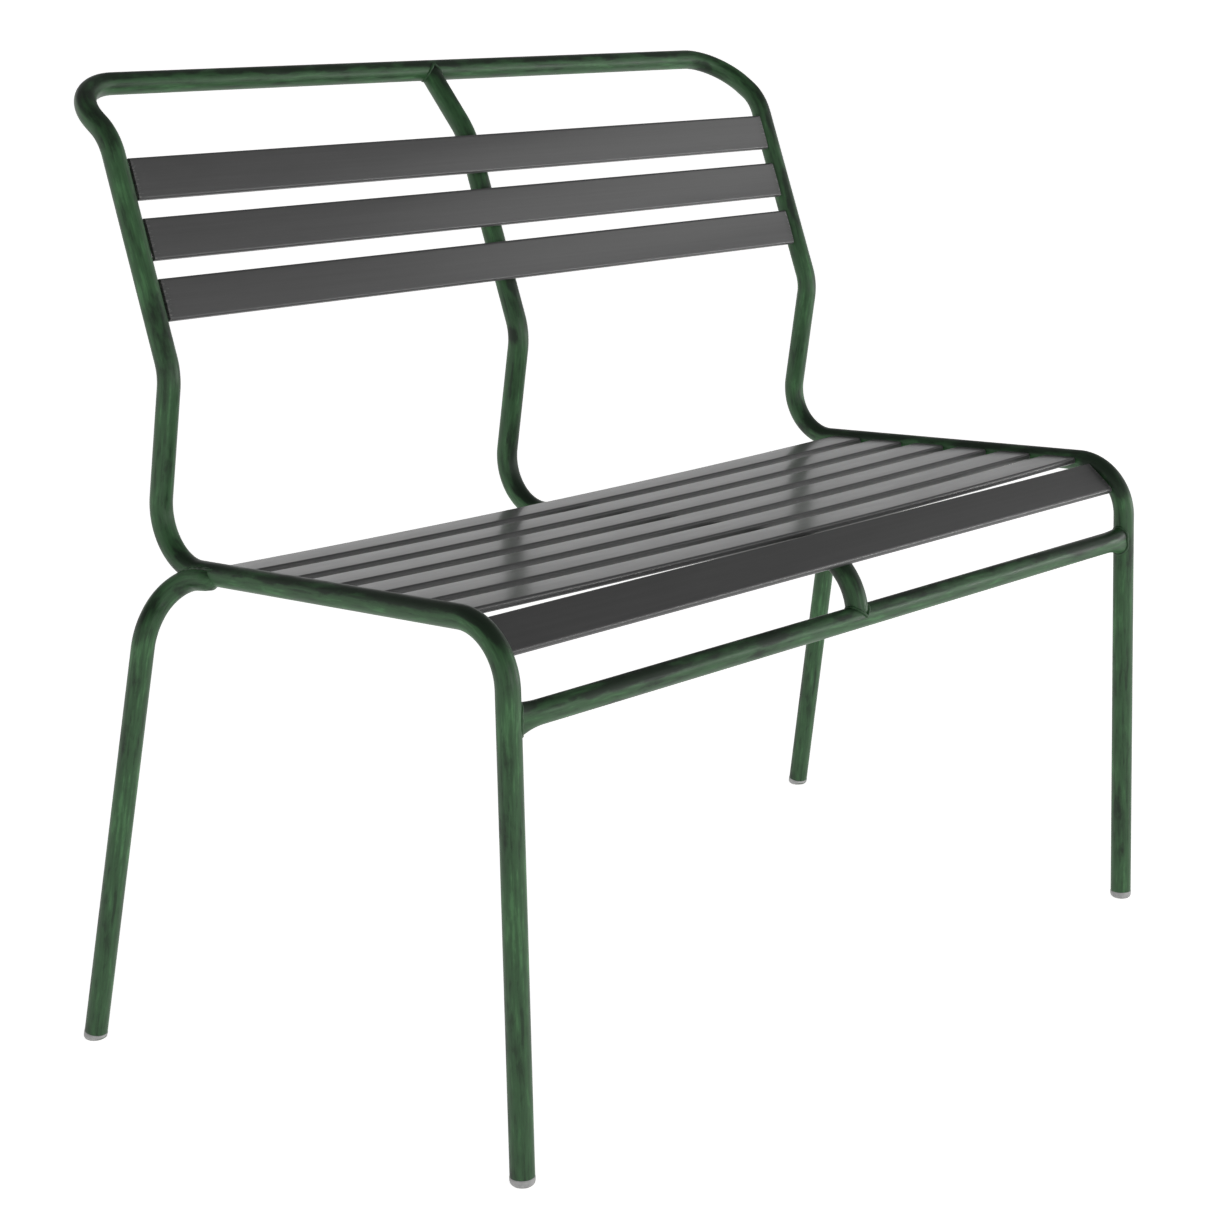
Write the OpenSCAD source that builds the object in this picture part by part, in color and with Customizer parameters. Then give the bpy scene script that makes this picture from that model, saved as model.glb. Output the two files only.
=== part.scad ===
// Two-seat garden bench with a back: a bent round-tube frame carrying glass-fibre slats.
// Millimetres. X runs along the bench, -Y is the sitter's side, +Z is up.
// The origin is on the floor, under the middle of the bench.

/* [Frame] */
// Distance between the centre lines of the two side tubes
side_spacing = 854; // [700:1:1400]
// Outside diameter of every tube
tube_d = 20; // [19:0.5:21]
// Wall thickness of every tube
tube_wall = 2; // [1.5:0.1:2.5]
// Centre-line radius of the side tube's bends
bend_r = 50; // [45:1:52]
// Height of the tube centre line where leg and seat rail lines meet
seat_front_z = 443; // [430:1:460]
// Height of the tube centre line where seat rail and back lines meet
seat_rear_z = 420; // [410:1:430]
// Height of the bend in the small of the back
lumbar_z = 588; // [580:1:600]
// Height of the centre line of the top rail
top_rail_z = 824.5; // [820:0.5:850]
// Height of the centre line of the front crossbar
crossbar_z = 369; // [340:1:372]
// Distance the rear feet stand outside the side tubes
rear_foot_out = 61.4; // [45:0.2:75]

/* [Slats] */
// Width of a slat
slat_w = 37.2; // [34:0.1:40]
// Height of a slat, lips included
slat_h = 6.6; // [5.6:0.1:6.8]
// Spacing of the slats along the seat
seat_pitch = 53.6; // [48:0.1:54]
// Spacing of the slats up the back
back_pitch = 53.3; // [48:0.1:56]

/* [Feet] */
// Visible height of a foot cap
cap_h = 7; // [5:0.5:10]

/* [Hidden] */
$fn = 64;
x_axis = [1, 0, 0];
half = side_spacing / 2;
tube_r = tube_d / 2;
bore_r = tube_r - tube_wall;
weld_gap = 0.05;
seam_t = 0.2;
seam_rise = 0.02;

// Side tube corners as [y, z], from the front foot to the top rail
foot_front = [-275, 0];
seat_front = [-261, seat_front_z];
seat_rear = [165.5, seat_rear_z];
lumbar = [139.5, lumbar_z];
roll = [213, 783.5];
top_rail = [275.5, top_rail_z];

seat_dir = unit(seat_rear - seat_front);
leg_dir = unit(seat_front - foot_front);
low_back_dir = unit(lumbar - seat_rear);
back_dir = unit(roll - lumbar);
crossbar_y = foot_front[0] + leg_dir[0] / leg_dir[1] * crossbar_z;

// Centre rib, set behind and below the side tubes
rib_drop = 16.6;
rib_low_setback = 10;
rib_setback = 15;
rib_front_r = 55;
rib_rear_r = 49;
rib_lumbar_r = 58;
rib_top_r = 90;
rib_front = [-250.7, line_z(seat_front, seat_dir, -250.7) - rib_drop];
rib_low_point = seat_rear + rib_low_setback * behind(low_back_dir);
rib_back_point = lumbar + rib_setback * behind(back_dir);
rib_rear = meet(rib_front, seat_dir, rib_low_point, low_back_dir);
rib_lumbar = meet(rib_low_point, low_back_dir, rib_back_point, back_dir);
rib_top_reach = 200;
rib_top = rib_lumbar + rib_top_reach * back_dir;

// Rear leg corners; x is measured outwards from the side tube
rear_foot = [rear_foot_out, 193.7, 0];
rear_knee = [42, 128.5, 376.6];
rear_hip = [7.6, 134.3, 414.9];
rear_root = [3.9, 77, 421.8];
rear_knee_r = 40;
rear_hip_r = 35;

// Butt joint between a side tube and the top rail, measured up from the roll bend
joint_at = 20;
joint_point = roll + joint_at * unit(top_rail - roll);

// Slats are counted from the front slat up the seat, then up the back
seat_slats = 6;
back_slats = 3;
first_seat = 68;
first_back = 63;
front_slat_angle = 38.3;
slat_half = half - 11;
slat_face = 6;
slat_under = slat_face - slat_h;
web = 4;
lip_t = 2.6;
edge_r = 2;
crown_r = 450;
web_under = slat_face - web;

// The front slat is set into the front bends, with its face this much lower than the back slats'
front_drop = 6.9;
front_shift = 1.7;

// The seat slats sag to this radius, and their middles are this much lower than the back slats
sag_r = 20000;
sag_drop = 5.8;
sag_turn = asin(slat_half / sag_r);

// Fixing lugs and screws
lug_t = 3;
lug_w = 22;
lug_out = 38;
lug_in = 10;
tab_half = 22;
stem_half = 4;
stem_w = 18;
stem_depth = 14;
lug_under = web_under - lug_t;
side_screw_x = half - 28;
centre_screw_x = 15;
screw_r = 2;
screw_hole_r = 2.15;
screw_tip = 4.4;
screw_hole_top = 4.8;
head_r = 4;
head_rim_r = 3;
head_t = 2.4;
socket_r = 1.6;
socket_depth = 1.2;

// Foot caps
cap_r = tube_r + 0.3;
plug_r = bore_r - 0.2;
plug_l = 18;
cap_tread_r = 8.6;
cap_bevel = 3;

// Weld fillets
weld_leg = 8;
weld_bite = 2;
weld_toe = 0.5;
weld_throat = 4.5;

// ---- Geometry helpers ----

function unit(v) = v / norm(v);
function behind(d) = [d[1], -d[0]];
function line_z(p, d, y) = p[1] + (y - p[0]) * d[1] / d[0];
function cross2(a, b) = a[0] * b[1] - a[1] * b[0];
function meet(p, a, q, b) = p + a * cross2(q - p, b) / cross2(a, b);
function at_x(x, p) = [x, p[0], p[1]];

// Rotation that carries +Z to z, and +X to x
function basis(x, z, o) = let (y = cross(z, x)) [
  [x[0], y[0], z[0], o[0]],
  [x[1], y[1], z[1], o[1]],
  [x[2], y[2], z[2], o[2]],
  [0, 0, 0, 1]
];
function any_normal(d) = unit(cross(d, abs(d[0]) < 0.9 ? [1, 0, 0] : [0, 1, 0]));

// Turn angle, tangent length and neighbours of corner i on a path
function turn_at(p, i) = let (a = unit(p[i] - p[i - 1]), b = unit(p[i + 1] - p[i])) acos(a * b);
function tangent_at(p, r, i) =
  i == 0 || i == len(p) - 1 ? 0 : r[i] * tan(turn_at(p, i) / 2);

// Straight round bar from a to b
module bar(a, b, r) {
  d = unit(b - a);
  multmatrix(basis(any_normal(d), d, a))
    cylinder(h = norm(b - a), r = r);
}

// Bend of a round bar at corner i of path p
module bend(p, radii, i, r) {
  a = unit(p[i] - p[i - 1]);
  b = unit(p[i + 1] - p[i]);
  start = p[i] - a * tangent_at(p, radii, i);
  inward = unit(b - a * (a * b));
  centre = start + inward * radii[i];
  multmatrix(basis(-inward, cross(-inward, a), centre))
    rotate_extrude(angle = turn_at(p, i))
      translate([radii[i], 0])
        circle(r = r);
}

// Round bar along a path of corners, one bend radius per corner
module rod(p, radii, r) {
  for (i = [1 : len(p) - 1]) {
    a = unit(p[i] - p[i - 1]);
    start = p[i - 1] + a * tangent_at(p, radii, i - 1);
    end = p[i] - a * tangent_at(p, radii, i);
    bar(start, end, r);
    if (i > 1)
      seam(start, a, r);
    if (i < len(p) - 1)
      seam(end, a, r);
  }
  for (i = [1 : len(p) - 2])
    bend(p, radii, i, r);
}

// Thin ring that joins a straight to a bend
module seam(at, d, r) {
  bar(at - d * seam_t, at + d * seam_t, r + seam_rise);
}

module tube(p, radii) {
  difference() {
    rod(p, radii, tube_r);
    rod(p, radii, bore_r);
  }
}

// ---- Paths ----

function side_path(s) = [
  at_x(s * half, foot_front), at_x(s * half, seat_front), at_x(s * half, seat_rear),
  at_x(s * half, lumbar), at_x(s * half, roll), at_x(s * half, joint_point)
];
side_radii = [0, bend_r, bend_r, bend_r, bend_r, 0];

top_path = [
  at_x(-half, joint_point), at_x(-half, top_rail), at_x(half, top_rail), at_x(half, joint_point)
];
top_radii = [0, bend_r, bend_r, 0];

rib_path = [
  [0, crossbar_y, crossbar_z], at_x(0, rib_front), at_x(0, rib_rear),
  at_x(0, rib_lumbar), at_x(0, rib_top), at_x(0, top_rail)
];
rib_radii = [0, rib_front_r, rib_rear_r, rib_lumbar_r, rib_top_r, 0];

function outward(s, p) = [s * (half + p[0]), p[1], p[2]];
function rear_path(s) = [
  outward(s, rear_foot), outward(s, rear_knee), outward(s, rear_hip), outward(s, rear_root)
];
rear_radii = [0, rear_knee_r, rear_hip_r, 0];

crossbar_ends = [[-half, crossbar_y, crossbar_z], [half, crossbar_y, crossbar_z]];

// Solid bar lying on a tube's centre line, for coping what meets it
module side_bar(s, extra) {
  rod(side_path(s), side_radii, tube_r + extra);
}

module rib_bar(extra) {
  rod(rib_path, rib_radii, tube_r + extra);
}

// Space below a foot cap's top face, square to the leg
module leg_end(p) {
  d = unit(p[1] - p[0]);
  bar(p[0] - d * tube_d, p[0] + d * cap_h, tube_d);
}

// ---- Frame ----

module side_tube(s) {
  color([0.15, 0.27, 0.16])
    difference() {
      tube(side_path(s), side_radii);
      leg_end(side_path(s));
    }
}
module side_tube_left() { side_tube(-1); }
module side_tube_right() { side_tube(1); }

module top_rail() {
  color([0.15, 0.27, 0.16])
    tube(top_path, top_radii);
}

module centre_rib() {
  color([0.15, 0.27, 0.16])
    difference() {
      tube(rib_path, rib_radii);
      bar(crossbar_ends[0], crossbar_ends[1], tube_r + weld_gap);
      bar(top_path[1], top_path[2], tube_r + weld_gap);
    }
}

module rear_leg(s) {
  color([0.15, 0.27, 0.16])
    difference() {
      tube(rear_path(s), rear_radii);
      side_bar(s, weld_gap);
      leg_end(rear_path(s));
    }
}
module rear_leg_left() { rear_leg(-1); }
module rear_leg_right() { rear_leg(1); }

module front_crossbar() {
  color([0.15, 0.27, 0.16])
    difference() {
      bar(crossbar_ends[0], crossbar_ends[1], tube_r);
      bar(crossbar_ends[0] - x_axis, crossbar_ends[1] + x_axis, bore_r);
      for (s = [-1, 1])
        bar(side_path(s)[0], side_path(s)[1], tube_r + weld_gap);
    }
}

// Cone that thickens the end of a tube from a towards the tube it is welded to
module weld(a, b, reach) {
  d = unit(b - a);
  multmatrix(basis(any_normal(d), d, b - d * reach))
    cylinder(h = weld_leg + weld_bite, r1 = tube_r + weld_toe, r2 = tube_r + weld_throat);
}

module weld_fillets() {
  color([0.15, 0.27, 0.16]) {
    difference() {
      for (s = [0, 1])
        weld(crossbar_ends[1 - s], crossbar_ends[s], tube_r + weld_leg);
      bar(crossbar_ends[0], crossbar_ends[1], tube_r);
      for (s = [-1, 1])
        bar(side_path(s)[0], side_path(s)[1], tube_r);
    }
    difference() {
      weld(rib_path[1], rib_path[0], tube_r + weld_leg);
      bar(rib_path[0], rib_path[1], tube_r);
      bar(crossbar_ends[0], crossbar_ends[1], tube_r);
    }
    difference() {
      weld(rib_path[4], rib_path[5], tube_r + weld_leg);
      bar(rib_path[4], rib_path[5], tube_r);
      bar(top_path[1], top_path[2], tube_r);
    }
  }
}

// ---- Slats ----

// Middle of the front bend, from which the front slat is set out
bend_centre = seat_front + seat_dir * tangent_at(side_path(1), side_radii, 1)
  - bend_r * [-seat_dir[1], seat_dir[0]];
front_out = [-sin(front_slat_angle), cos(front_slat_angle)];
front_up = [cos(front_slat_angle), sin(front_slat_angle)];

function slat_tilt(i) =
  i == 0 ? front_slat_angle
  : i <= seat_slats ? atan2(seat_dir[1], seat_dir[0])
  : atan2(back_dir[1], back_dir[0]);
function slat_at(i) =
  i == 0 ? bend_centre + (bend_r - front_drop) * front_out + front_shift * front_up
  : i <= seat_slats ? seat_front + seat_dir * (first_seat + seat_pitch * (i - 1))
    - sag_drop * [-seat_dir[1], seat_dir[0]]
  : lumbar + back_dir * (first_back + back_pitch * (i - seat_slats - 1));
function sags(i) = i > 0 && i <= seat_slats;

// Frame of slat i at its middle: Y across the slat, Z out of its face
module at_slat(i) {
  translate(at_x(0, slat_at(i)))
    rotate([slat_tilt(i), 0, 0])
      children();
}

// Place x along slat i, following its sag
module along_slat(i, x) {
  if (sags(i))
    translate([0, 0, sag_r])
      rotate([0, -asin(x / sag_r), 0])
        translate([0, 0, -sag_r])
          children();
  else
    translate([x, 0, 0])
      children();
}

// Side tube s as seen from slat i, for coping a lug
module tube_by_slat(i, s) {
  if (i == 0)
    translate([s * half, -front_shift, front_drop - bend_r])
      rotate([0, 90, 0])
        rotate_extrude()
          translate([bend_r, 0])
            circle(r = tube_r);
  else
    translate([s * half, -slat_w, sags(i) ? sag_drop : 0])
      rotate([-90, 0, 0])
        cylinder(h = 2 * slat_w, r = tube_r);
}

// Slat section: gently crowned face, rounded edges, two lips and a flat web
module slat_section() {
  inner = slat_w / 2 - edge_r;
  difference() {
    intersection() {
      union() {
        translate([-slat_w / 2, slat_under + edge_r])
          square([slat_w, slat_h - 2 * edge_r]);
        translate([-inner, slat_under])
          square([2 * inner, slat_h]);
        for (s = [-1, 1])
          for (z = [slat_under + edge_r, slat_face - edge_r])
            translate([s * inner, z])
              circle(r = edge_r, $fn = 64);
      }
      translate([0, slat_face - crown_r])
        circle(r = crown_r, $fn = 256);
    }
    translate([lip_t - slat_w / 2, slat_under - 1])
      square([slat_w - 2 * lip_t, web_under - slat_under + 1]);
  }
}

module straight_slat() {
  translate([-slat_half, 0, 0])
    rotate([90, 0, 90])
      linear_extrude(2 * slat_half)
        slat_section();
}

module sagging_slat() {
  translate([0, 0, sag_r])
    rotate([90, 0, 0])
      rotate(-90 - sag_turn)
        rotate_extrude(angle = 2 * sag_turn, $fn = 4096)
          translate([sag_r, 0])
            rotate(90)
              slat_section();
}

module slat(i) {
  color([0.2, 0.2, 0.205])
    at_slat(i)
      difference() {
        if (sags(i))
          sagging_slat();
        else
          straight_slat();
        for (x = [-side_screw_x, -centre_screw_x, centre_screw_x, side_screw_x])
          along_slat(i, x)
            translate([0, 0, slat_under])
              cylinder(h = screw_hole_top - slat_under, r = screw_hole_r);
      }
}
module front_slat() { slat(0); }
module seat_slat_1() { slat(1); }
module seat_slat_2() { slat(2); }
module seat_slat_3() { slat(3); }
module seat_slat_4() { slat(4); }
module seat_slat_5() { slat(5); }
module seat_slat_6() { slat(6); }
module back_slat_1() { slat(seat_slats + 1); }
module back_slat_2() { slat(seat_slats + 2); }
module back_slat_3() { slat(seat_slats + 3); }

// ---- Slat fixings ----

// Flat lug under each slat end, coped to the side tube
module slat_lugs(s) {
  color([0.15, 0.27, 0.16])
    for (i = [0 : seat_slats + back_slats])
      at_slat(i)
        difference() {
          along_slat(i, s * side_screw_x)
            translate([s > 0 ? -lug_in : lug_in - lug_out, -lug_w / 2, lug_under])
              cube([lug_out, lug_w, lug_t]);
          tube_by_slat(i, s);
          along_slat(i, s * side_screw_x)
            translate([0, 0, lug_under - 1])
              cylinder(h = lug_t + 2, r = screw_hole_r);
        }
}
module slat_lugs_left() { slat_lugs(-1); }
module slat_lugs_right() { slat_lugs(1); }

// Cross tab over the centre rib, with a stem where the rib stands off the slat
module slat_bracket(i) {
  difference() {
    at_slat(i)
      difference() {
        union() {
          translate([-tab_half, -lug_w / 2, lug_under])
            cube([2 * tab_half, lug_w, lug_t]);
          if (i == 0 || i > seat_slats)
            translate([-stem_half, -stem_w / 2, lug_under - stem_depth])
              cube([2 * stem_half, stem_w, stem_depth + 1]);
        }
        for (x = [-centre_screw_x, centre_screw_x])
          translate([x, 0, lug_under - 1])
            cylinder(h = lug_t + 2, r = screw_hole_r);
      }
    rib_bar(weld_gap);
  }
}

module slat_brackets_centre() {
  color([0.15, 0.27, 0.16])
    for (i = [0 : seat_slats + back_slats])
      slat_bracket(i);
}

// Socket-head screw, driven into the slat from below
module screw() {
  translate([0, 0, lug_under - head_t])
    difference() {
      union() {
        cylinder(h = head_t, r1 = head_rim_r, r2 = head_r);
        cylinder(h = head_t + screw_tip - lug_under, r = screw_r);
      }
      translate([0, 0, -1])
        cylinder(h = socket_depth + 1, r = socket_r, $fn = 6);
    }
}

module screw_row(xs) {
  color([0.72, 0.73, 0.74])
    for (i = [0 : seat_slats + back_slats])
      at_slat(i)
        for (x = xs)
          along_slat(i, x)
            screw();
}
module screws_left() { screw_row([-side_screw_x]); }
module screws_right() { screw_row([side_screw_x]); }
module screws_centre() { screw_row([-centre_screw_x, centre_screw_x]); }

// ---- Feet ----

// Cap pushed into the end of a leg, level with the floor
module foot_cap(p) {
  d = unit(p[1] - p[0]);
  color([0.6, 0.6, 0.6])
    intersection() {
      union() {
        bar(p[0] - d * cap_h, p[0] + d * cap_h, cap_r);
        bar(p[0], p[0] + d * (cap_h + plug_l), plug_r);
      }
      translate(p[0])
        union() {
          cylinder(h = cap_bevel, r1 = cap_tread_r, r2 = cap_tread_r + cap_bevel);
          translate([0, 0, cap_bevel])
            cylinder(h = cap_h + plug_l, r = cap_tread_r + cap_bevel);
        }
    }
}
module foot_cap_front_left() { foot_cap(side_path(-1)); }
module foot_cap_front_right() { foot_cap(side_path(1)); }
module foot_cap_rear_left() { foot_cap(rear_path(-1)); }
module foot_cap_rear_right() { foot_cap(rear_path(1)); }

side_tube_left();
side_tube_right();
top_rail();
centre_rib();
rear_leg_left();
rear_leg_right();
front_crossbar();
front_slat();
seat_slat_1();
seat_slat_2();
seat_slat_3();
seat_slat_4();
seat_slat_5();
seat_slat_6();
back_slat_1();
back_slat_2();
back_slat_3();
foot_cap_front_left();
foot_cap_front_right();
foot_cap_rear_left();
foot_cap_rear_right();
slat_lugs_left();
slat_lugs_right();
slat_brackets_centre();
screws_left();
screws_right();
screws_centre();
weld_fillets();
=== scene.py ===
"""Looks of the two-seat garden bench: swept painted tubes, moulded slats, weld beads and foot caps."""

import math

import bpy
import numpy as np
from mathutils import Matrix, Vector, noise


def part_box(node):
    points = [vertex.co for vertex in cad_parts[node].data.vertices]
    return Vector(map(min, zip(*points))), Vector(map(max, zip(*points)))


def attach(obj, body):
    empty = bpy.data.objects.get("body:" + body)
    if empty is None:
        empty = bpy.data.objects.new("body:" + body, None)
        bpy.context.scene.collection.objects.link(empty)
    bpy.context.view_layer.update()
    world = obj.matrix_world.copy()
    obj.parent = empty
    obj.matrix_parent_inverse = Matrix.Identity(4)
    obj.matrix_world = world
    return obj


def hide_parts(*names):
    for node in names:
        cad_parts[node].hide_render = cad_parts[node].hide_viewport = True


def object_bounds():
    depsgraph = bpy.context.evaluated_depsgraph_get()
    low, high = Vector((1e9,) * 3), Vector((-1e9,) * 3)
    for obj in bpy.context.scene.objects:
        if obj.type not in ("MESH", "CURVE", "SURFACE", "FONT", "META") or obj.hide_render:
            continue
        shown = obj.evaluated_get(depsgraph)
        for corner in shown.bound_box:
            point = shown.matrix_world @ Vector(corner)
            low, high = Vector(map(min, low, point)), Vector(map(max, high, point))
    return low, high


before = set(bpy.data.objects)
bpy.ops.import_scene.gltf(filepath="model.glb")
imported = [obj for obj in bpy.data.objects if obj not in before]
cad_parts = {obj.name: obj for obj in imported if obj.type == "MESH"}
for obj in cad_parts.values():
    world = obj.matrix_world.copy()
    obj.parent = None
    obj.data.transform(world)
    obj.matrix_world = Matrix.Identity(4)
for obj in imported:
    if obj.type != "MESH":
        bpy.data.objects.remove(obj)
cad_low, cad_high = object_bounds()

MM = 0.001

# ---- Driving dimensions, in metres, in the frame's axes ----

TUBE_R = 10 * MM
SIDE_LOW, SIDE_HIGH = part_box("side_tube_right")
HALF = (SIDE_LOW.x + SIDE_HIGH.x) / 2
CROSS_LOW, CROSS_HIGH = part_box("front_crossbar")
CROSS_Y = (CROSS_LOW.y + CROSS_HIGH.y) / 2
CROSS_Z = (CROSS_LOW.z + CROSS_HIGH.z) / 2
TOP_Z = cad_high.z - TUBE_R
TOP_Y = cad_high.y - TUBE_R
FLOOR_Z = cad_low.z


def mm(*values):
    """A point or list given in millimetres, as metres."""
    return np.array(values, float) * MM


def unit(v):
    return v / np.linalg.norm(v)


# Side tube corners as (y, z), from the front foot to the top rail
FOOT_FRONT = mm(-275, 0)
SEAT_FRONT = mm(-261, 443)
SEAT_REAR = mm(165.5, 420)
LUMBAR = mm(139.5, 588)
ROLL = mm(213, 783.5)
TOP = np.array([TOP_Y, TOP_Z])
BEND_R = 50 * MM
SEAT_DIR = unit(SEAT_REAR - SEAT_FRONT)
LOW_BACK_DIR = unit(LUMBAR - SEAT_REAR)
BACK_DIR = unit(ROLL - LUMBAR)
LEG_DIR = unit(SEAT_FRONT - FOOT_FRONT)

# Centre rib
RIB_DROP = 16.6 * MM
RIB_LOW_SETBACK = 10 * MM
RIB_SETBACK = 15 * MM
RIB_TOP_REACH = 200 * MM
RIB_FRONT_Y = -250.7 * MM
RIB_RADII = mm(0, 55, 49, 58, 90, 0)

# Rear leg corners; x is measured outwards from the side tube
REAR_LEG = [mm(61.4, 193.7, 0), mm(42, 128.5, 376.6), mm(7.6, 134.3, 414.9), mm(3.9, 77, 421.8)]
REAR_RADII = mm(0, 40, 35, 0)

# Slats
SEAT_SLATS = 6
BACK_SLATS = 3
FIRST_SEAT = 68 * MM
SEAT_PITCH = 53.6 * MM
FIRST_BACK = 63 * MM
BACK_PITCH = 53.3 * MM
FRONT_SLAT_ANGLE = math.radians(38.3)
FRONT_DROP = 6.9 * MM
FRONT_SHIFT = 1.7 * MM
SLAT_HALF = HALF - 11 * MM
SLAT_W = 37.2 * MM
SLAT_FACE = 6 * MM
SLAT_H = 6.6 * MM
SAG_R = 20.0
SAG_DROP = 5.8 * MM

# Foot caps
CAP_H = 7 * MM

# Mesh fineness
SIDES = 48
STRAIGHT_STEP = 9 * MM
ARC_STEP = math.radians(3)

# Dark patches gather in bends, and upward faces get painted shade: darker paint where a tube faces up
BEND_STAIN = 0.6
TOP_SHADE_FROM = 0.15
TOP_SHADE_RANGE = 0.4

# How a tube's section changes in a bend
BEND_FLATTEN = 0.03
BEND_WIDEN = 0.008
BEND_CREASE = 0.35 * MM

X_AXIS = np.array([1.0, 0, 0])
Z_AXIS = np.array([0, 0, 1.0])


# ---- Mesh building ----

def add_object(name, data):
    obj = bpy.data.objects.new(name, data)
    bpy.context.scene.collection.objects.link(obj)
    return obj


class Skin:
    """Collects closed shells, with the two attributes that the materials read."""

    def __init__(self):
        self.points, self.faces, self.grain, self.shade = [], [], [], []

    def add(self, points, faces, grain, shade):
        base = len(self.points)
        self.points += [tuple(p) for p in points]
        self.faces += [tuple(base + i for i in f) for f in faces]
        self.grain += [tuple(g) for g in grain]
        self.shade += [float(s) for s in shade]

    def make(self, name, material, nodes, smooth_angle=None):
        mesh = bpy.data.meshes.new(name)
        mesh.from_pydata(self.points, [], self.faces)
        grain = mesh.attributes.new("grain", "FLOAT_VECTOR", "POINT")
        grain.data.foreach_set("vector", np.array(self.grain, np.float32).ravel())
        shade = mesh.attributes.new("shade", "FLOAT", "POINT")
        shade.data.foreach_set("value", np.array(self.shade, np.float32))
        mesh.polygons.foreach_set("use_smooth", [True] * len(mesh.polygons))
        if smooth_angle:
            mesh.set_sharp_from_angle(angle=smooth_angle)
        mesh.validate()
        mesh.update()
        obj = add_object(name, mesh)
        mesh.materials.append(material)
        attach(obj, "root")
        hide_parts(*nodes)
        return obj


def smooth_path(corners, radii):
    """Rings along straights and bends: place, direction, share of a bend, way to the bend's centre."""
    rings = []
    start = corners[0]
    last = len(corners) - 1
    for i in range(1, last + 1):
        along = unit(corners[i] - corners[i - 1])
        end = corners[i]
        turn = 0.0
        if i < last:
            onward = unit(corners[i + 1] - corners[i])
            turn = math.acos(float(np.clip(along @ onward, -1, 1)))
            inward = unit(onward - along * (along @ onward))
            end = corners[i] - along * radii[i] * math.tan(turn / 2)
        count = max(2, round(float(np.linalg.norm(end - start)) / STRAIGHT_STEP))
        for k in range(count):
            rings.append((start + (end - start) * k / count, along, 0.0, np.zeros(3)))
        if i == last:
            rings.append((end, along, 0.0, np.zeros(3)))
            break
        centre = end + inward * radii[i]
        count = max(4, round(turn / ARC_STEP))
        for k in range(count):
            a = turn * k / count
            out = inward * math.cos(a) - along * math.sin(a)
            way = along * math.cos(a) + inward * math.sin(a)
            rings.append((centre - out * radii[i], way, math.sin(math.pi * k / count), out))
        start = corners[i] + onward * radii[i] * math.tan(turn / 2)
    return rings


def ring_faces(count, sides, closed):
    """Quads between rings of points, and fans over both ends when the run isn't closed."""
    faces = []
    runs = count if closed else count - 1
    for i in range(runs):
        a, b = i * sides, (i + 1) % count * sides
        for k in range(sides):
            n = (k + 1) % sides
            faces.append((a + k, a + n, b + n, b + k))
    if not closed:
        first, final = count * sides, count * sides + 1
        for k in range(sides):
            n = (k + 1) % sides
            faces.append((first, n, k))
            faces.append((final, (count - 1) * sides + k, (count - 1) * sides + n))
    return faces


def sweep(skin, rings, side, radius):
    """Skins a tube along rings. radius(distance, directions, ring) is the skin's distance from the line."""
    angles = np.arange(SIDES) * 2 * math.pi / SIDES
    places, grain, shade = [], [], []
    side = unit(side - rings[0][1] * (side @ rings[0][1]))
    distance = 0.0
    for i, ring in enumerate(rings):
        place, way = ring[0], ring[1]
        if i:
            distance += float(np.linalg.norm(place - rings[i - 1][0]))
        side = unit(side - way * (side @ way))
        across = np.cross(way, side)
        out = np.outer(np.cos(angles), side) + np.outer(np.sin(angles), across)
        r = radius(distance, out, ring)
        places.append(place + out * r[:, None])
        turned = np.column_stack([np.full(SIDES, distance), np.cos(angles) * r, np.sin(angles) * r])
        grain.append(turned)
        # Painted shade: the paint is darkened where the tube faces up
        painted_top_shade = np.clip((out[:, 2] - TOP_SHADE_FROM) / TOP_SHADE_RANGE, 0, 1)
        shade.append(np.maximum(BEND_STAIN * ring[2], painted_top_shade))
    ends = [rings[0][0], rings[-1][0]]
    places = np.vstack(places + ends)
    grain = np.vstack(grain + [[0, 0, 0], [distance, 0, 0]])
    shade = np.concatenate(shade + [[0, 0]])
    skin.add(places, ring_faces(len(rings), SIDES, False), grain, shade)


def tube_radius(distance, out, ring):
    """Round tube, a little flattened and drawn in on the inner side of a bend."""
    inner = out @ ring[3]
    flat = 1 - BEND_FLATTEN * ring[2] * inner**2 + BEND_WIDEN * ring[2] * (1 - inner**2)
    crease = BEND_CREASE * ring[2] * np.clip(inner, 0, 1) ** 6
    return TUBE_R * flat - crease


def in_plane(x, p):
    return np.array([x, p[0], p[1]])


def behind(d):
    return np.array([d[1], -d[0]])


def meet(p, a, q, b):
    """Where the line through p along a crosses the line through q along b."""
    cross = a[0] * b[1] - a[1] * b[0]
    gap = q - p
    return p + a * (gap[0] * b[1] - gap[1] * b[0]) / cross


# ---- Paths ----

def side_corners(s):
    return [in_plane(s * HALF, p) for p in (FOOT_FRONT, SEAT_FRONT, SEAT_REAR, LUMBAR, ROLL, TOP)]


def rib_corners():
    front_z = SEAT_FRONT[1] + (RIB_FRONT_Y - SEAT_FRONT[0]) * SEAT_DIR[1] / SEAT_DIR[0] - RIB_DROP
    front = np.array([RIB_FRONT_Y, front_z])
    low = SEAT_REAR + RIB_LOW_SETBACK * behind(LOW_BACK_DIR)
    back = LUMBAR + RIB_SETBACK * behind(BACK_DIR)
    rear = meet(front, SEAT_DIR, low, LOW_BACK_DIR)
    lumbar = meet(low, LOW_BACK_DIR, back, BACK_DIR)
    top = lumbar + RIB_TOP_REACH * BACK_DIR
    cross = np.array([CROSS_Y, CROSS_Z])
    return [in_plane(0, p) for p in (cross, front, rear, lumbar, top, TOP)]


def rear_corners(s):
    return [np.array([s * (HALF + p[0]), p[1], p[2]]) for p in REAR_LEG]


# ---- Materials ----

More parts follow.
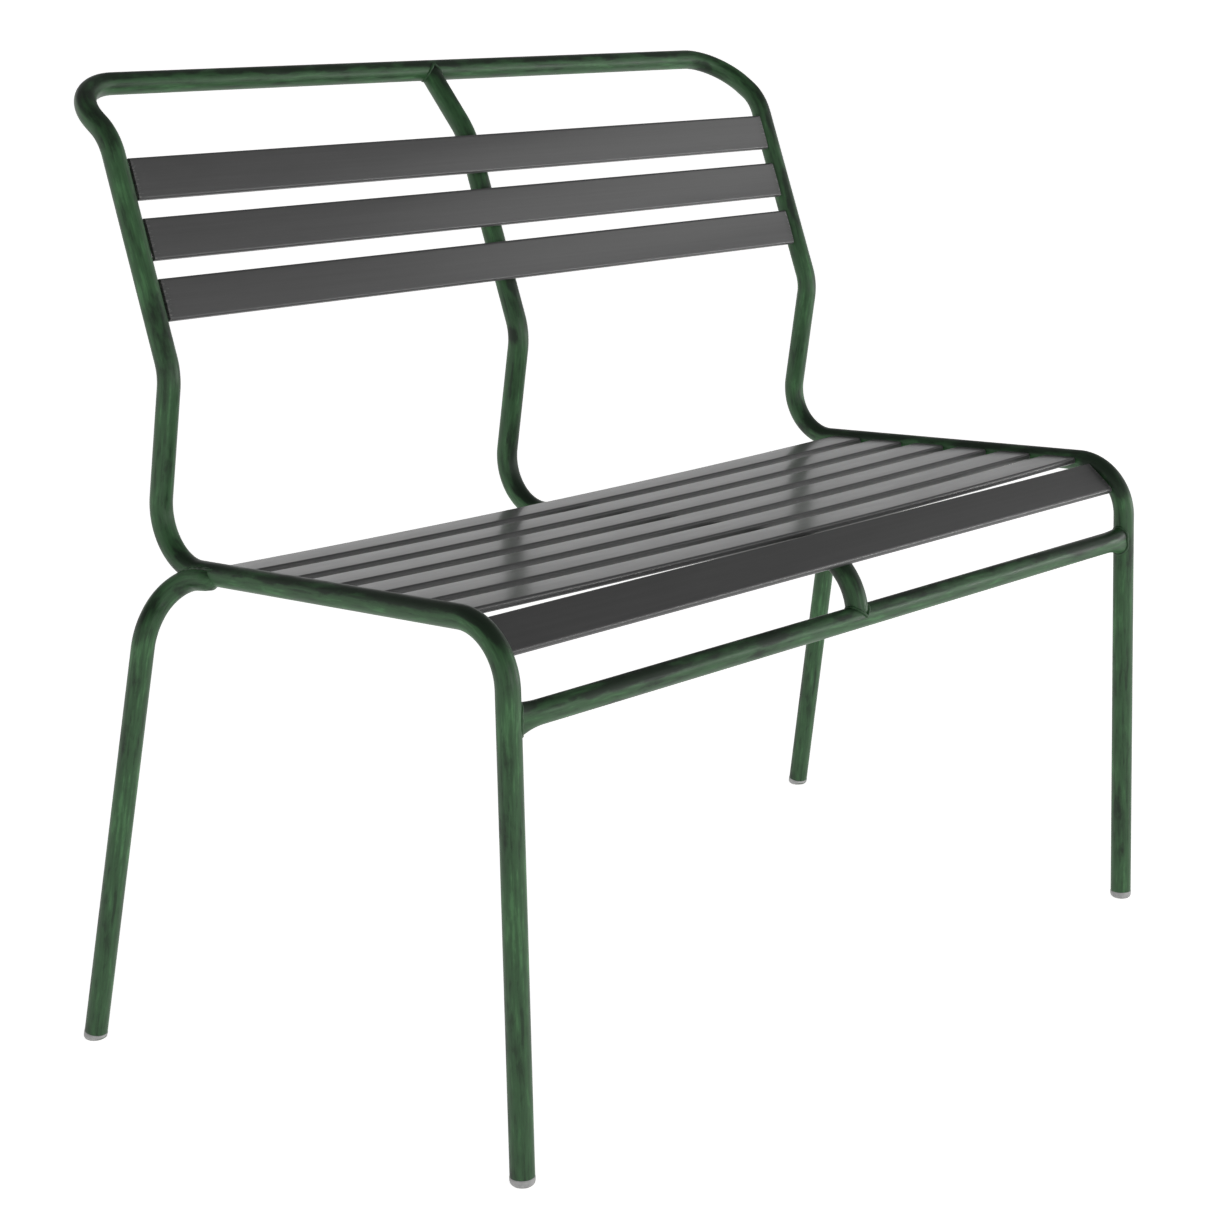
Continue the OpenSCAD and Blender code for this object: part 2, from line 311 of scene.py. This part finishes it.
def set_stops(ramp, stops):
    """Gives a colour ramp its stops, as pairs of position and colour."""
    while len(ramp.elements) < len(stops):
        ramp.elements.new(0.5)
    for element, (position, colour) in zip(ramp.elements, stops):
        element.position = position
        element.color = (*colour, 1)


class Nodes:
    """Short hand for building a material's nodes."""

    def __init__(self, name):
        self.material = bpy.data.materials.new(name)
        self.material.use_nodes = True
        self.tree = self.material.node_tree
        self.shader = self.tree.nodes["Principled BSDF"]

    def node(self, kind, **settings):
        made = self.tree.nodes.new(kind)
        for key, value in settings.items():
            setattr(made, key, value)
        return made

    def link(self, a, b):
        self.tree.links.new(a, b)

    def grain(self, scale):
        """Coordinates that follow the piece, stretched by scale."""
        source = self.node("ShaderNodeAttribute", attribute_name="grain")
        return self.scaled(source.outputs["Vector"], scale)

    def place(self, scale):
        """Coordinates in the frame's axes, stretched by scale."""
        source = self.node("ShaderNodeTexCoord")
        return self.scaled(source.outputs["Object"], scale)

    def scaled(self, vector, scale):
        times = self.node("ShaderNodeVectorMath", operation="MULTIPLY")
        self.link(vector, times.inputs[0])
        times.inputs[1].default_value = scale
        return times.outputs["Vector"]

    def noise(self, vector, detail=4.0, roughness=0.55):
        made = self.node("ShaderNodeTexNoise")
        self.link(vector, made.inputs["Vector"])
        made.inputs["Scale"].default_value = 1.0
        made.inputs["Detail"].default_value = detail
        made.inputs["Roughness"].default_value = roughness
        return made.outputs["Fac"]

    def math(self, operation, a, b):
        made = self.node("ShaderNodeMath", operation=operation)
        for socket, value in zip(made.inputs, (a, b)):
            if isinstance(value, (int, float)):
                socket.default_value = value
            else:
                self.link(value, socket)
        return made.outputs[0]

    def spread(self, value, low, high, to_low=0.0, to_high=1.0):
        """Value mapped from low..high to to_low..to_high, kept within them."""
        made = self.node("ShaderNodeMapRange", interpolation_type="SMOOTHSTEP")
        self.link(value, made.inputs["Value"])
        for key, number in (("From Min", low), ("From Max", high), ("To Min", to_low), ("To Max", to_high)):
            made.inputs[key].default_value = number
        return made.outputs["Result"]

    def ramp(self, value, stops):
        made = self.node("ShaderNodeValToRGB")
        self.link(value, made.inputs["Fac"])
        set_stops(made.color_ramp, stops)
        return made.outputs["Color"]

    def mix(self, share, a, b):
        made = self.node("ShaderNodeMix", data_type="RGBA")
        self.link(share, made.inputs["Factor"])
        for socket, value in ((made.inputs["A"], a), (made.inputs["B"], b)):
            if isinstance(value, tuple):
                socket.default_value = (*value, 1)
            else:
                self.link(value, socket)
        return made.outputs["Result"]

    def bump(self, height, strength, distance):
        made = self.node("ShaderNodeBump")
        made.inputs["Strength"].default_value = strength
        made.inputs["Distance"].default_value = distance
        self.link(height, made.inputs["Height"])
        self.link(made.outputs["Normal"], self.shader.inputs["Normal"])

    def finish(self, colour, roughness, **constants):
        self.link(colour, self.shader.inputs["Base Color"])
        self.link(roughness, self.shader.inputs["Roughness"])
        for key, value in constants.items():
            self.shader.inputs[key.replace("_", " ")].default_value = value
        return self.material


def srgb(*levels):
    """Linear colour from 0..255 display levels."""
    return tuple((c / 255 / 12.92) if c < 11 else ((c / 255 + 0.055) / 1.055) ** 2.4 for c in levels)


def painted_green(name, coordinates):
    """Dark green paint with drawn-out streaks, dark mottled patches, painted shade on upward faces and a
    soft sheen.
    """
    n = Nodes(name)
    streak = n.noise(coordinates(n, (26, 300, 300)), detail=5)
    mottle = n.noise(coordinates(n, (30, 75, 75)), detail=6, roughness=0.62)
    fine = n.noise(coordinates(n, (130, 900, 900)), detail=3)
    patch = n.noise(coordinates(n, (11, 38, 38)), detail=3)
    bend_stain_and_top_shade = n.node("ShaderNodeAttribute", attribute_name="shade").outputs["Fac"]
    tone = n.math("ADD", n.math("MULTIPLY", streak, 0.5), n.math("MULTIPLY", mottle, 0.5))
    green = n.ramp(tone, [
        (0.38, srgb(26, 52, 28)),
        (0.46, srgb(42, 74, 44)),
        (0.54, srgb(48, 83, 50)),
        (0.62, srgb(64, 106, 66)),
    ])
    spread = n.math("ADD", n.math("MULTIPLY", patch, 0.55), n.math("MULTIPLY", mottle, 0.45))
    # Bend and weld-bead stains, plus painted shade on upward faces, deepen the dark patches
    stain_and_shade = n.math("ADD", spread, n.math("MULTIPLY", bend_stain_and_top_shade, 0.13))
    dark = n.spread(stain_and_shade, 0.54, 0.66, 0, 0.9)
    colour = n.mix(dark, green, srgb(12, 26, 14))
    rough = n.math("ADD", n.spread(mottle, 0.3, 0.7, 0.34, 0.48), n.math("MULTIPLY", fine, 0.06))
    height = n.math("ADD", n.math("MULTIPLY", streak, 0.6), n.math("MULTIPLY", fine, 0.4))
    n.bump(height, 0.25, 0.0004)
    return n.finish(colour, rough, IOR=1.42, Specular_IOR_Level=0.4)


def slat_plastic():
    """Anthracite moulded plastic with fine lengthwise drawing marks and rubbed ends."""
    n = Nodes("slat_plastic")
    drawn = n.noise(n.grain((5, 420, 420)), detail=4)
    cloud = n.noise(n.grain((14, 60, 60)), detail=5, roughness=0.6)
    speck = n.noise(n.grain((240, 700, 700)), detail=2)
    ends = n.node("ShaderNodeAttribute", attribute_name="shade").outputs["Fac"]
    tone = n.math("ADD", n.math("MULTIPLY", drawn, 0.55), n.math("MULTIPLY", cloud, 0.45))
    colour = n.ramp(tone, [
        (0.30, srgb(50, 50, 50)),
        (0.50, srgb(54, 54, 54)),
        (0.70, srgb(59, 59, 59)),
    ])
    dust = n.spread(n.math("ADD", speck, n.math("MULTIPLY", ends, 0.3)), 0.72, 0.98, 0, 0.5)
    colour = n.mix(dust, colour, srgb(120, 120, 118))
    rough = n.math("ADD", n.spread(cloud, 0.3, 0.7, 0.44, 0.50), n.math("MULTIPLY", ends, 0.25))
    height = n.math("ADD", n.math("MULTIPLY", drawn, 0.7), n.math("MULTIPLY", speck, 0.3))
    n.bump(height, 0.12, 0.0003)
    return n.finish(colour, rough, IOR=1.5, Coat_Weight=0.4, Coat_Roughness=0.18)


def foot_plastic():
    """Light grey moulded plastic, scuffed towards the floor."""
    n = Nodes("foot_plastic")
    cloud = n.noise(n.grain((160, 160, 160)), detail=5)
    speck = n.noise(n.grain((900, 900, 900)), detail=2)
    tread = n.node("ShaderNodeAttribute", attribute_name="shade").outputs["Fac"]
    clean = n.ramp(cloud, [(0.35, srgb(138, 138, 138)), (0.65, srgb(163, 163, 162))])
    scuff = n.spread(n.math("ADD", speck, n.math("MULTIPLY", tread, 0.35)), 0.6, 1.0, 0, 0.6)
    colour = n.mix(scuff, clean, srgb(98, 96, 92))
    rough = n.spread(cloud, 0.3, 0.7, 0.5, 0.68)
    n.bump(speck, 0.2, 0.0002)
    return n.finish(colour, rough)


def screw_steel():
    """Bare stainless steel with turned marks and light tarnish."""
    n = Nodes("screw_steel")
    cloud = n.noise(n.place((500, 500, 500)), detail=4)
    fine = n.noise(n.place((2500, 2500, 2500)), detail=2)
    colour = n.ramp(cloud, [(0.3, srgb(150, 149, 146)), (0.7, srgb(198, 199, 200))])
    rough = n.spread(fine, 0.3, 0.7, 0.26, 0.42)
    n.bump(fine, 0.15, 0.00005)
    return n.finish(colour, rough, Metallic=1.0)


PAINT = painted_green("frame_paint", Nodes.grain)
PAINT_FLAT = painted_green("frame_paint_flat", Nodes.place)
SLAT = slat_plastic()
FOOT = foot_plastic()
STEEL = screw_steel()


# ---- Frame tubes ----

def frame_loop():
    """The one long tube that runs from foot to foot over the top."""
    left, right = side_corners(-1), side_corners(1)
    corners = left + right[::-1]
    radii = [0] + [BEND_R] * (len(corners) - 2) + [0]
    skin = Skin()
    rings = smooth_path(corners, radii)
    sweep(skin, trimmed(rings, CAP_H / 2), X_AXIS, tube_radius)
    skin.make("frame_loop", PAINT, ["side_tube_left", "side_tube_right", "top_rail"])


def trimmed(rings, cut, far=True):
    """Rings with the first, and with far also the last, moved in along the path by cut."""
    rings = list(rings)
    first = rings[0]
    rings[0] = (first[0] + first[1] * cut, *first[1:])
    if far:
        final = rings[-1]
        rings[-1] = (final[0] - final[1] * cut, *final[1:])
    return rings


def rib():
    skin = Skin()
    rings = smooth_path(rib_corners(), RIB_RADII)
    sweep(skin, rings, X_AXIS, tube_radius)
    skin.make("centre_rib_tube", PAINT, ["centre_rib"])


PINCH_LENGTH = 14 * MM
PINCH_LEFT = 0.25


def rear_leg(s, name):
    skin = Skin()
    rings = trimmed(smooth_path(rear_corners(s), REAR_RADII), CAP_H / 2, far=False)
    total = sum(float(np.linalg.norm(b[0] - a[0])) for a, b in zip(rings, rings[1:]))

    def radius(distance, out, ring):
        """The top end narrows where it dies into the seat rail."""
        left = max(0.0, total - distance)
        open_share = math.sqrt(max(0.0, 1 - (1 - min(1.0, left / PINCH_LENGTH)) ** 2))
        close = open_share * (1 - PINCH_LEFT) + PINCH_LEFT
        return tube_radius(distance, out, ring) * close

    sweep(skin, rings, X_AXIS, radius)
    skin.make("rear_leg_tube_" + name, PAINT, ["rear_leg_" + name])


FLARE_LENGTH = 24 * MM
FLARE_DOWN = 4.6 * MM
FLARE_UP = 2.2 * MM
FLARE_THIN = 2.0 * MM
CROSSBAR_INSET = 2 * MM
CROSSBAR_STEPS = 260


def crossbar_radius(distance, out, ring):
    """Round bar whose ends are pressed flat and flare against the legs."""
    reach = HALF - TUBE_R - abs(float(ring[0][0]))
    share = max(0.0, 1 - max(0.0, reach) / FLARE_LENGTH) ** 2
    up, aside = out[:, 2], out[:, 1]
    grown = np.where(up > 0, FLARE_UP, FLARE_DOWN) * up**2 - FLARE_THIN * aside**2
    return TUBE_R + share * grown


def crossbar():
    skin = Skin()
    ends = [np.array([s * (HALF - CROSSBAR_INSET), CROSS_Y, CROSS_Z]) for s in (-1, 1)]
    line = [(ends[0] + (ends[1] - ends[0]) * k / CROSSBAR_STEPS, X_AXIS, 0.0, np.zeros(3))
            for k in range(CROSSBAR_STEPS + 1)]
    sweep(skin, line, Z_AXIS, crossbar_radius)
    skin.make("front_crossbar_tube", PAINT, ["front_crossbar"])


# ---- Weld beads ----

BEAD_R = 1.5 * MM
BEAD_SIDES = 12
BEAD_STEPS = 96
BEAD_UNEVEN = 0.22
BEAD_UNEVEN_SCALE = 420
BEAD_RIPPLE = 0.10
BEAD_RIPPLE_STEP = 1.3 * MM
BEAD_STAIN = 0.9
BEAD_TAPER_STEPS = 4
BEAD_TAPER_START = 0.25
SADDLE_CENTRE = 0.6 * TUBE_R
RAIL_BEAD_LOW_Z = 380 * MM
RAIL_BEAD_NEAR = 4 * MM
RAIL_BEAD_FAR = 19.2 * MM
RAIL_BEAD_STEP = 1.5 * MM


def bead(skin, points, closed, centre=None, seed=0.0):
    """A hand-run weld bead with slightly uneven ripples along points."""
    points = np.array(points)
    count = len(points)
    angles = np.arange(BEAD_SIDES) * 2 * math.pi / BEAD_SIDES
    places, grain, shade = [], [], []
    distance = 0.0
    side = Z_AXIS
    for i in range(count):
        ahead = points[(i + 1) % count] if closed or i < count - 1 else points[i]
        back = points[i - 1] if closed or i else points[i]
        way = unit(ahead - back)
        if closed:
            side = points[i] - centre
        side = unit(side - way * (side @ way))
        across = np.cross(way, side)
        distance += float(np.linalg.norm(points[i] - back)) if i else 0.0
        swell = 1 + BEAD_UNEVEN * noise.noise(Vector(points[i] * BEAD_UNEVEN_SCALE) + Vector((seed, 0, 0)))
        swell += BEAD_RIPPLE * math.sin(distance / BEAD_RIPPLE_STEP)
        if not closed:
            end = min(i, count - 1 - i) / BEAD_TAPER_STEPS
            swell *= min(1.0, BEAD_TAPER_START + (1 - BEAD_TAPER_START) * end)
        out = np.outer(np.cos(angles), side) + np.outer(np.sin(angles), across)
        places.append(points[i] + out * BEAD_R * swell)
        turn = np.column_stack([np.full(BEAD_SIDES, distance), np.cos(angles), np.sin(angles)])
        grain.append(turn * [1, BEAD_R, BEAD_R])
        shade.append(np.full(BEAD_SIDES, BEAD_STAIN))
    if not closed:
        places.append([points[0], points[-1]])
        grain.append([[0, 0, 0], [distance, 0, 0]])
        shade.append([BEAD_STAIN, BEAD_STAIN])
    faces = ring_faces(count, BEAD_SIDES, closed)
    skin.add(np.vstack(places), faces, np.vstack(grain), np.concatenate(shade))


def crossbar_bead(skin, s):
    """Ring where the flared crossbar end meets a leg."""
    points = []
    for k in range(BEAD_STEPS):
        a = 2 * math.pi * k / BEAD_STEPS
        out = np.array([[0, math.cos(a), math.sin(a)]])
        end_ring = (np.array([HALF - TUBE_R, 0, 0]), None)
        r = float(crossbar_radius(0, out, end_ring)[0])
        aside, up = r * math.cos(a), r * math.sin(a)
        inset = math.sqrt(max(0.0, TUBE_R**2 - aside**2))
        points.append([s * (HALF - inset), CROSS_Y + aside, CROSS_Z + up])
    bead(skin, points, True, np.array([s * (HALF - TUBE_R), CROSS_Y, CROSS_Z]), seed=3.0 * s)


def saddle_bead(skin, start, way, seed):
    """Ring where the rib, leaving start along way, meets a tube that runs along X."""
    flat = np.cross(X_AXIS, way)
    points = []
    for k in range(BEAD_STEPS):
        a = 2 * math.pi * k / BEAD_STEPS
        x, across = TUBE_R * math.cos(a), TUBE_R * math.sin(a)
        lift = math.sqrt(max(0.0, TUBE_R**2 - across**2))
        points.append(start + np.array([x, 0, 0]) + flat * across + way * lift)
    bead(skin, points, True, start + way * SADDLE_CENTRE, seed=seed)


def rail_beads(skin, s):
    """Two runs along the crease between a rear leg's top and the seat rail."""
    rings = smooth_path(rear_corners(s), REAR_RADII)
    rail_rings = smooth_path(side_corners(s), [0] + [BEND_R] * 4 + [0])
    rail_points = np.array([r[0] for r in rail_rings])
    for turn in (-1, 1):
        run = []
        for ring in rings:
            nearest = int(np.argmin(np.linalg.norm(rail_points - ring[0], axis=1)))
            way = rail_rings[nearest][1]
            gap = ring[0] - rail_points[nearest]
            gap = gap - way * (gap @ way)
            length = float(np.linalg.norm(gap))
            if ring[0][2] < RAIL_BEAD_LOW_Z or not RAIL_BEAD_NEAR < length < RAIL_BEAD_FAR:
                continue
            lift = math.sqrt(TUBE_R**2 - (length / 2) ** 2)
            run.append(rail_points[nearest] + gap / 2 + turn * lift * unit(np.cross(way, gap)))
        bead(skin, resampled(run, RAIL_BEAD_STEP), False, seed=7.0 * s + turn)


def resampled(points, step):
    """The same line with evenly spaced points."""
    points = np.array(points)
    lengths = np.concatenate([[0], np.cumsum(np.linalg.norm(np.diff(points, axis=0), axis=1))])
    count = max(8, int(lengths[-1] / step))
    at = np.linspace(0, lengths[-1], count)
    return [np.array([np.interp(t, lengths, points[:, j]) for j in range(3)]) for t in at]


def weld_beads():
    skin = Skin()
    corners = rib_corners()
    for s in (-1, 1):
        crossbar_bead(skin, s)
        rail_beads(skin, s)
    saddle_bead(skin, corners[0], unit(corners[1] - corners[0]), 11.0)
    saddle_bead(skin, corners[5], unit(corners[4] - corners[5]), 17.0)
    skin.make("weld_beads", PAINT, ["weld_fillets"])


# ---- Slats ----

CROWN_R = 450 * MM
EDGE_R = 2.4 * MM
LIP_R = 1.8 * MM
LIP_T = 2.6 * MM
WEB_T = 4 * MM
SHOULDER = 1.2 * EDGE_R
LIP_CORNER_R = 0.4 * MM
ROOT_R = 0.8 * MM
ARC_POINTS = 8
FACE_POINTS = 10

# A slat's stations along its length, as shares of half its length; the extra ones keep the ends crisp
EVEN_STATIONS = 96
END_STATIONS = (0.9985, 0.9995)
RAGGED_END = 0.25 * MM
UNEVEN_FACE = 0.15 * MM
RUBBED_END_RATE = 60
SLAT_GRAIN_STEP = 0.11


def fillet_points(before, corner, after, radius, count=ARC_POINTS):
    """Points of the arc that rounds a corner of an outline."""
    a, b = unit(before - corner), unit(after - corner)
    half = math.acos(float(np.clip(a @ b, -1, 1))) / 2
    reach = radius / math.tan(half)
    centre = corner + unit(a + b) * radius / math.sin(half)
    start, end = corner + a * reach - centre, corner + b * reach - centre
    sweep_angle = math.pi - 2 * half
    points = []
    for k in range(count + 1):
        t = k / count
        mix = math.sin((1 - t) * sweep_angle), math.sin(t * sweep_angle)
        points.append(centre + (start * mix[0] + end * mix[1]) / math.sin(sweep_angle))
    return points


def crown_z(y):
    return SLAT_FACE - (CROWN_R - math.sqrt(CROWN_R**2 - y**2))


def slat_outline():
    """Section of a slat: crowned face, rounded edges, two lips and a hollow underside."""
    w = SLAT_W / 2
    under, web = SLAT_FACE - SLAT_H, SLAT_FACE - WEB_T
    shoulder = w - SHOULDER
    across = [shoulder * k / FACE_POINTS for k in range(1, FACE_POINTS + 1)]
    half = [np.array([y, crown_z(y)]) for y in across]
    corner = np.array([w, crown_z(w)])
    lip, lip_in = np.array([w, under]), np.array([w - LIP_T, under])
    root, middle = np.array([w - LIP_T, web]), np.array([0, web])
    half += fillet_points(half[-1], corner, lip, EDGE_R)
    half += fillet_points(corner, lip, lip_in, LIP_R)
    half += fillet_points(lip, lip_in, root, LIP_CORNER_R, 3)
    half += fillet_points(lip_in, root, middle, ROOT_R, 4)
    half.append(np.array([w / 2, web]))
    mirrored = [np.array([-p[0], p[1]]) for p in half[::-1]]
    return half + [middle] + mirrored + [np.array([0, crown_z(0)])]


def slat_frame(i):
    """Origin, direction across and direction out of the face, of slat i, in the side plane."""
    if i == 0:
        bend_turn = math.acos(float(LEG_DIR @ SEAT_DIR))
        inner = np.array([-SEAT_DIR[1], SEAT_DIR[0]])
        centre = SEAT_FRONT + SEAT_DIR * BEND_R * math.tan(bend_turn / 2) - BEND_R * inner
        c, s = math.cos(FRONT_SLAT_ANGLE), math.sin(FRONT_SLAT_ANGLE)
        out = np.array([-s, c])
        up = np.array([c, s])
        return centre + (BEND_R - FRONT_DROP) * out + FRONT_SHIFT * up, up, out
    if i <= SEAT_SLATS:
        across = SEAT_DIR
        origin = SEAT_FRONT + across * (FIRST_SEAT + SEAT_PITCH * (i - 1))
        origin = origin - SAG_DROP * np.array([-across[1], across[0]])
    else:
        across = BACK_DIR
        origin = LUMBAR + across * (FIRST_BACK + BACK_PITCH * (i - SEAT_SLATS - 1))
    return origin, across, np.array([-across[1], across[0]])


def sag(i, x):
    """How far slat i stands above its middle at x."""
    return SAG_R - math.sqrt(SAG_R**2 - x**2) if 0 < i <= SEAT_SLATS else 0.0


def slat(i, name):
    outline = slat_outline()
    origin, across, out = slat_frame(i)
    sides = len(outline)
    stations = [-1 + 2 * k / EVEN_STATIONS for k in range(EVEN_STATIONS + 1)]
    stations += [s * share for share in END_STATIONS for s in (-1, 1)]
    stations.sort()
    places, grain, shade = [], [], []
    for t in stations:
        for j, p in enumerate(outline):
            ragged = RAGGED_END * noise.noise(Vector((j * 0.9, i * 7.3, math.copysign(5, t))))
            x = t * SLAT_HALF
            if abs(t) == 1:
                x -= math.copysign(abs(ragged), t)
            bow = UNEVEN_FACE * noise.noise(Vector((t * 2.1, i * 3.7, 0)))
            rise = sag(i, x) - (abs(bow) if p[1] > WEB_T else 0)
            yz = origin + across * p[0] + out * (p[1] + rise)
            places.append((x, yz[0], yz[1]))
            grain.append((x, p[0] + i * SLAT_GRAIN_STEP, p[1]))
            shade.append(max(0.0, 1 - (1 - abs(t)) * RUBBED_END_RATE))
    faces = []
    for a in range(len(stations) - 1):
        for k in range(sides):
            n = (k + 1) % sides
            faces.append((a * sides + k, a * sides + n, (a + 1) * sides + n, (a + 1) * sides + k))
    final = (len(stations) - 1) * sides
    faces.append(tuple(range(sides))[::-1])
    faces.append(tuple(final + k for k in range(sides)))
    faces = [f[::-1] for f in faces]
    skin = Skin()
    skin.add(places, faces, grain, shade)
    skin.make("moulded_" + name, SLAT, [name], smooth_angle=math.radians(50))


# ---- Feet ----

# Height up the leg and radius of each corner of a foot cap, in mm: tread, collar, plug inside the tube
CAP_TREAD = [(0.0, 7.4), (0.25, 8.3), (1.0, 9.2), (2.2, 9.95), (3.4, 10.25)]
CAP_COLLAR = [(6.0, 10.3), (6.6, 10.25), (6.95, 10.05), (7.0, 9.8)]
CAP_PLUG = [(7.0, 7.8), (24.0, 7.8), (24.6, 7.2)]
CAP_SIDES = 64
CAP_SCUFF = 5.0


def foot_cap(name, foot, way):
    """Cap turned to the leg's direction, with a rounded tread cut level with the floor."""
    node = "foot_cap_" + name
    profile = CAP_TREAD + CAP_COLLAR + CAP_PLUG
    side = unit(X_AXIS - way * way[0])
    across = np.cross(way, side)
    places, grain, shade = [], [], []
    for height, r in profile:
        for k in range(CAP_SIDES):
            a = 2 * math.pi * k / CAP_SIDES
            out = side * math.cos(a) + across * math.sin(a)
            p = foot + way * height * MM + out * r * MM
            if (height, r) in CAP_TREAD:
                p = p + way * (height * MM - p[2]) / way[2]
            places.append(p)
            grain.append(p)
            shade.append(max(0.0, 1 - height / CAP_SCUFF))
    places += [foot, foot + way * profile[-1][0] * MM]
    grain += [foot, foot]
    shade += [1, 0]
    skin = Skin()
    skin.add(places, ring_faces(len(profile), CAP_SIDES, False), grain, shade)
    skin.make("tread_" + node, FOOT, [node], smooth_angle=math.radians(55))


# ---- Carried-over CAD nodes ----

LUG_BEVEL = 0.5 * MM
SCREW_BEVEL = 0.15 * MM
BEVEL_ANGLE = math.radians(40)


def dress(node, material, bevel):
    """Gives a CAD node its finish and softens its edges."""
    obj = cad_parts[node]
    obj.data.materials.clear()
    obj.data.materials.append(material)
    soften = obj.modifiers.new("soft_edges", "BEVEL")
    soften.width = bevel
    soften.segments = 2
    soften.limit_method = "ANGLE"
    soften.angle_limit = BEVEL_ANGLE


# ---- Build ----

frame_loop()
rib()
for s, side_name in ((-1, "left"), (1, "right")):
    rear_leg(s, side_name)
crossbar()
weld_beads()

slat(0, "front_slat")
for i in range(1, SEAT_SLATS + 1):
    slat(i, f"seat_slat_{i}")
for i in range(1, BACK_SLATS + 1):
    slat(SEAT_SLATS + i, f"back_slat_{i}")

for s, side_name in ((-1, "left"), (1, "right")):
    front = side_corners(s)
    rear = rear_corners(s)
    foot_cap("front_" + side_name, front[0], unit(front[1] - front[0]))
    foot_cap("rear_" + side_name, rear[0], unit(rear[1] - rear[0]))

for node in ("slat_lugs_left", "slat_lugs_right", "slat_brackets_centre"):
    dress(node, PAINT_FLAT, LUG_BEVEL)
for node in ("screws_left", "screws_right", "screws_centre"):
    dress(node, STEEL, SCREW_BEVEL)


# ---- Floor, light and camera ----

FLOOR_GLOW = 0.76
FLOOR_HALF = 300
LIGHT_DISTANCE = 3.2
AIM_HEIGHT = 0.45

# Brightness of the surroundings by direction: 0 is level or lower, 1 straight up
WORLD_LEVELS = ((0.0, 1.12), (0.24, 1.02), (0.40, 0.34), (0.55, 0.24), (1.0, 0.24))


def floor():
    n = Nodes("floor")
    grainy = n.noise(n.place((3, 3, 3)), detail=3)
    colour = n.ramp(grainy, [(0.3, (0.80, 0.80, 0.79)), (0.7, (0.84, 0.84, 0.83))])
    rough = n.spread(grainy, 0.3, 0.7, 0.7, 0.85)
    material = n.finish(colour, rough, Emission_Color=(1, 1, 1, 1), Emission_Strength=FLOOR_GLOW)
    mesh = bpy.data.meshes.new("floor")
    corners = ((-1, -1), (1, -1), (1, 1), (-1, 1))
    places = [(x * FLOOR_HALF, y * FLOOR_HALF, FLOOR_Z) for x, y in corners]
    mesh.from_pydata(places, [], [(0, 1, 2, 3)])
    mesh.materials.append(material)
    add_object("floor", mesh)


def softbox(name, azimuth, elevation, width, height, power):
    """Area light that faces the bench. Azimuth is from the front towards +X, in degrees."""
    data = bpy.data.lights.new(name, "AREA")
    data.shape = "RECTANGLE"
    data.size, data.size_y, data.energy = width, height, power
    obj = add_object(name, data)
    a, e = math.radians(azimuth), math.radians(elevation)
    out = Vector((math.sin(a) * math.cos(e), -math.cos(a) * math.cos(e), math.sin(e)))
    obj.location = Vector((0, 0, AIM_HEIGHT)) + out * LIGHT_DISTANCE
    obj.rotation_euler = out.to_track_quat("Z", "Y").to_euler()
    obj.visible_camera = False


def studio():
    """Pale walls low down, a dim ceiling, one soft light at the front and two on the right."""
    softbox("front_light", azimuth=-7, elevation=8, width=0.9, height=1.4, power=13)
    softbox("strip_light", azimuth=52, elevation=2, width=1.8, height=0.22, power=18)
    softbox("band_light", azimuth=62, elevation=27, width=1.4, height=0.5, power=3.5)
    world = bpy.data.worlds.new("studio")
    bpy.context.scene.world = world
    world.use_nodes = True
    tree = world.node_tree
    where = tree.nodes.new("ShaderNodeTexCoord")
    axes = tree.nodes.new("ShaderNodeSeparateXYZ")
    level = tree.nodes.new("ShaderNodeValToRGB")
    tree.links.new(where.outputs["Generated"], axes.inputs["Vector"])
    tree.links.new(axes.outputs["Z"], level.inputs["Fac"])
    tree.links.new(level.outputs["Color"], tree.nodes["Background"].inputs["Color"])
    set_stops(level.color_ramp, [(position, (bright,) * 3) for position, bright in WORLD_LEVELS])
    bpy.context.scene.view_settings.view_transform = "Standard"


FOCAL_PIXELS = 2581
IMAGE_PIXELS = 1214
SENSOR = 36
CAMERA_PLACE = (-1.7385, -1.5938, 0.9312)
CAMERA_HEADING = math.radians(46.85)
CAMERA_DOWN = math.radians(10.22)
CAMERA_SHIFT = -0.15


def camera():
    data = bpy.data.cameras.new("camera")
    data.sensor_width = SENSOR
    data.lens = FOCAL_PIXELS / IMAGE_PIXELS * SENSOR
    data.shift_y = CAMERA_SHIFT
    obj = add_object("camera", data)
    obj.location = CAMERA_PLACE
    obj.rotation_euler = (math.pi / 2 - CAMERA_DOWN, 0, -CAMERA_HEADING)
    bpy.context.scene.camera = obj


floor()
studio()
camera()
